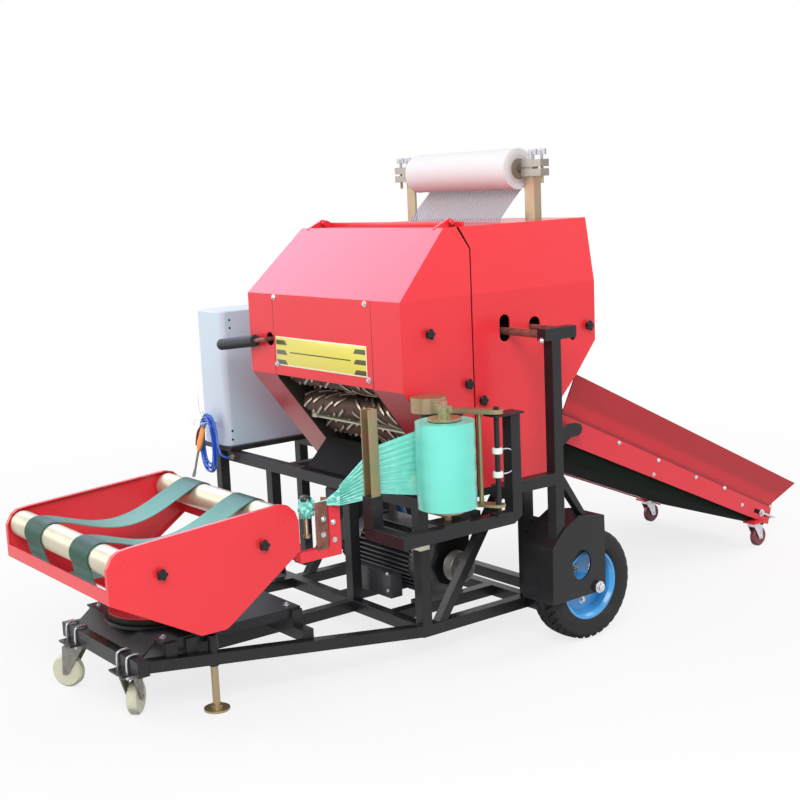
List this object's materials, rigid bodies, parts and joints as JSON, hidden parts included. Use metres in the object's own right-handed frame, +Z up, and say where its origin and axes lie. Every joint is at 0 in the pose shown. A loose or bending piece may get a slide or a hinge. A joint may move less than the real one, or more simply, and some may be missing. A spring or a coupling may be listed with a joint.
{
  "type": "round baler",
  "caption": "Small trailed round baler with a film wrapping table, film stand, net roll, feed conveyor and control cabinet.",
  "frame": {"origin": "middle of the bounding box on the ground", "axes": "+X to the film stand side, +Y towards the feed conveyor, +Z up"},
  "size_m": [1.602, 2.951, 1.5449],
  "materials": {
    "red_sheet": "gloss",
    "black_frame": "satin",
    "black_sheet": "satin",
    "motor_black": "satin",
    "cast_grey": "matte",
    "zinc": "satin",
    "galvanised": "satin",
    "roller_steel": "satin",
    "rusty_steel": "matte",
    "grey_cabinet": "satin",
    "blue_rim": "gloss",
    "tyre_rubber": "matte",
    "green_belt": "satin",
    "dark_belt": "matte",
    "roller_rubber": "satin",
    "green_film": "gloss",
    "white_net": "matte",
    "cream_wheel": "satin",
    "red_wheel": "satin",
    "black_grip": "satin",
    "blue_hose": "gloss",
    "orange_gun": "gloss"
  },
  "bodies": {
    "chassis": {"base_frame": "black_frame", "upper_frame": "black_frame", "outrigger": "black_frame", "support_rods": "rusty_steel", "cabinet_stand": "black_frame", "control_cabinet": "grey_cabinet", "platform": "black_frame", "turntable_base": "black_frame", "chamber_shell": "red_sheet", "side_cover_right": "red_sheet", "side_cover_left": "red_sheet", "ramp": "black_sheet", "wheel_box_right": "black_frame", "wheel_box_left": "black_frame", "motor": "motor_black", "belt_guard": "black_sheet", "film_stand": "black_frame", "film_spindle": "zinc", "film_guide": "zinc", "film_web": "green_film", "prestretch_unit": "zinc", "net_stand": "zinc", "netting": "white_net", "air_hose_coil": "blue_hose", "air_hose_lead": "blue_hose", "air_fitting": "zinc", "air_gun": "orange_gun"},
    "gate": {"gate_shell": "red_sheet", "gate_handle": "black_grip"},
    "table": {"table_frame": "red_sheet", "table_belts": "green_belt", "film_clamp": "red_sheet"},
    "conveyor": {"conveyor_trough": "red_sheet", "conveyor_belt": "dark_belt"},
    "gate_roller_top": {"gate_roller_top": "roller_steel"},
    "gate_roller_middle": {"gate_roller_middle": "roller_steel"},
    "gate_roller_low": {"gate_roller_low": "roller_steel"},
    "gate_roller_bottom": {"gate_roller_bottom": "roller_steel"},
    "chamber_roller_front": {"chamber_roller_front": "roller_steel"},
    "chamber_roller_rear": {"chamber_roller_rear": "roller_steel"},
    "table_drum_front": {"table_drum_front": "galvanised"},
    "table_drum_rear": {"table_drum_rear": "galvanised"},
    "film_roll": {"film_roll": "green_film"},
    "prestretch_roller_inner": {"prestretch_roller_inner": "roller_rubber"},
    "prestretch_roller_outer": {"prestretch_roller_outer": "roller_rubber"},
    "net_roll": {"net_roll": "white_net"},
    "motor_pulley": {"motor_pulley": "cast_grey"},
    "wheel_right": {"tyre_right": "tyre_rubber", "rim_right": "blue_rim"},
    "jack_right": {"jack_leg_right": "zinc"},
    "wheel_left": {"tyre_left": "tyre_rubber", "rim_left": "blue_rim"},
    "jack_left": {"jack_leg_left": "zinc"},
    "front_caster_right_fork": {"front_caster_right_fork": "zinc"},
    "front_caster_right_wheel": {"front_caster_right_wheel": "cream_wheel"},
    "front_caster_left_fork": {"front_caster_left_fork": "zinc"},
    "front_caster_left_wheel": {"front_caster_left_wheel": "cream_wheel"},
    "tail_caster_right_fork": {"tail_caster_right_fork": "zinc"},
    "tail_caster_right_wheel": {"tail_caster_right_wheel": "red_wheel"},
    "tail_caster_left_fork": {"tail_caster_left_fork": "zinc"},
    "tail_caster_left_wheel": {"tail_caster_left_wheel": "red_wheel"}
  },
  "joints": [
    {"name": "gate_hinge", "type": "hinge", "parent": "chassis", "child": "gate", "pos_m": [0.099, -0.2705, 1.33], "axis": [-1, 0, 0], "range_deg": [0, 45]},
    {"name": "gate_roller_top_spin", "type": "hinge", "parent": "gate", "child": "gate_roller_top", "pos_m": [0.099, -0.45166, 0.95564], "axis": [1, 0, 0], "continuous": true},
    {"name": "gate_roller_middle_spin", "type": "hinge", "parent": "gate", "child": "gate_roller_middle", "pos_m": [0.099, -0.44583, 0.84436], "axis": [1, 0, 0], "continuous": true},
    {"name": "gate_roller_low_spin", "type": "hinge", "parent": "gate", "child": "gate_roller_low", "pos_m": [0.099, -0.39873, 0.74337], "axis": [1, 0, 0], "continuous": true},
    {"name": "gate_roller_bottom_spin", "type": "hinge", "parent": "gate", "child": "gate_roller_bottom", "pos_m": [0.099, -0.31289, 0.66471], "axis": [1, 0, 0], "continuous": true},
    {"name": "chamber_roller_front_spin", "type": "hinge", "parent": "chassis", "child": "chamber_roller_front", "pos_m": [0.099, -0.20314, 0.62584], "axis": [1, 0, 0], "continuous": true},
    {"name": "chamber_roller_rear_spin", "type": "hinge", "parent": "chassis", "child": "chamber_roller_rear", "pos_m": [0.099, -0.08692, 0.63295], "axis": [1, 0, 0], "continuous": true},
    {"name": "table_turn", "type": "hinge", "parent": "chassis", "child": "table", "pos_m": [0.099, -1.1725, 0.24], "axis": [0, 0, 1], "continuous": true},
    {"name": "table_drum_front_spin", "type": "hinge", "parent": "table", "child": "table_drum_front", "pos_m": [0.099, -1.4275, 0.497], "axis": [1, 0, 0], "continuous": true},
    {"name": "table_drum_rear_spin", "type": "hinge", "parent": "table", "child": "table_drum_rear", "pos_m": [0.099, -0.9345, 0.53], "axis": [1, 0, 0], "continuous": true},
    {"name": "film_roll_spin", "type": "hinge", "parent": "chassis", "child": "film_roll", "pos_m": [0.716, -0.5465, 0.545], "axis": [0, 0, 1], "continuous": true},
    {"name": "prestretch_roller_inner_spin", "type": "hinge", "parent": "chassis", "child": "prestretch_roller_inner", "pos_m": [0.6421, -0.44966, 0.54], "axis": [0, 0, 1], "continuous": true},
    {"name": "prestretch_roller_outer_spin", "type": "hinge", "parent": "chassis", "child": "prestretch_roller_outer", "pos_m": [0.57391, -0.48753, 0.54], "axis": [0, 0, 1], "continuous": true},
    {"name": "net_roll_spin", "type": "hinge", "parent": "chassis", "child": "net_roll", "pos_m": [0.099, 0.0995, 1.48], "axis": [1, 0, 0], "continuous": true},
    {"name": "motor_pulley_spin", "type": "hinge", "parent": "chassis", "child": "motor_pulley", "pos_m": [0.399, -0.2525, 0.245], "axis": [1, 0, 0], "continuous": true},
    {"name": "wheel_right_spin", "type": "hinge", "parent": "chassis", "child": "wheel_right", "pos_m": [0.634, 0.0565, 0.178], "axis": [1, 0, 0], "continuous": true},
    {"name": "jack_right_lift", "type": "slide", "parent": "chassis", "child": "jack_right", "axis": [0, 0, 1], "range_m": [0, 0.05]},
    {"name": "wheel_left_spin", "type": "hinge", "parent": "chassis", "child": "wheel_left", "pos_m": [-0.436, 0.0565, 0.178], "axis": [1, 0, 0], "continuous": true},
    {"name": "jack_left_lift", "type": "slide", "parent": "chassis", "child": "jack_left", "axis": [0, 0, 1], "range_m": [0, 0.05]},
    {"name": "front_caster_right_swivel", "type": "hinge", "parent": "chassis", "child": "front_caster_right_fork", "pos_m": [0.259, -1.3475, 0.1], "axis": [0, 0, 1], "continuous": true},
    {"name": "front_caster_right_roll", "type": "hinge", "parent": "front_caster_right_fork", "child": "front_caster_right_wheel", "pos_m": [0.23072, -1.31922, 0.05], "axis": [-0.7071, -0.7071, 0], "continuous": true},
    {"name": "front_caster_left_swivel", "type": "hinge", "parent": "chassis", "child": "front_caster_left_fork", "pos_m": [-0.081, -1.3475, 0.1], "axis": [0, 0, 1], "continuous": true},
    {"name": "front_caster_left_roll", "type": "hinge", "parent": "front_caster_left_fork", "child": "front_caster_left_wheel", "pos_m": [-0.11377, -1.37044, 0.05], "axis": [0.5736, -0.8192, 0], "continuous": true},
    {"name": "conveyor_pivot", "type": "hinge", "parent": "chassis", "child": "conveyor", "pos_m": [0.099, 0.2725, 0.612], "axis": [1, 0, 0], "range_deg": [0, 25]},
    {"name": "tail_caster_right_swivel", "type": "hinge", "parent": "conveyor", "child": "tail_caster_right_fork", "pos_m": [0.37, 1.2625, 0.075], "axis": [0, 0, 1], "continuous": true},
    {"name": "tail_caster_right_roll", "type": "hinge", "parent": "tail_caster_right_fork", "child": "tail_caster_right_wheel", "pos_m": [0.37, 1.2845, 0.0375], "axis": [-1, 0, 0], "continuous": true},
    {"name": "tail_caster_left_swivel", "type": "hinge", "parent": "conveyor", "child": "tail_caster_left_fork", "pos_m": [-0.172, 1.2625, 0.075], "axis": [0, 0, 1], "continuous": true},
    {"name": "tail_caster_left_roll", "type": "hinge", "parent": "tail_caster_left_fork", "child": "tail_caster_left_wheel", "pos_m": [-0.172, 1.2845, 0.0375], "axis": [-1, 0, 0], "continuous": true}
  ],
  "couplings": [
    {"joint": "gate_roller_top_spin", "follows": "chamber_roller_front_spin", "ratio": 1},
    {"joint": "gate_roller_middle_spin", "follows": "chamber_roller_front_spin", "ratio": 1},
    {"joint": "gate_roller_low_spin", "follows": "chamber_roller_front_spin", "ratio": 1},
    {"joint": "gate_roller_bottom_spin", "follows": "chamber_roller_front_spin", "ratio": 1},
    {"joint": "chamber_roller_rear_spin", "follows": "chamber_roller_front_spin", "ratio": 1},
    {"joint": "table_drum_rear_spin", "follows": "table_drum_front_spin", "ratio": 1},
    {"joint": "prestretch_roller_outer_spin", "follows": "prestretch_roller_inner_spin", "ratio": -1.5}
  ]
}
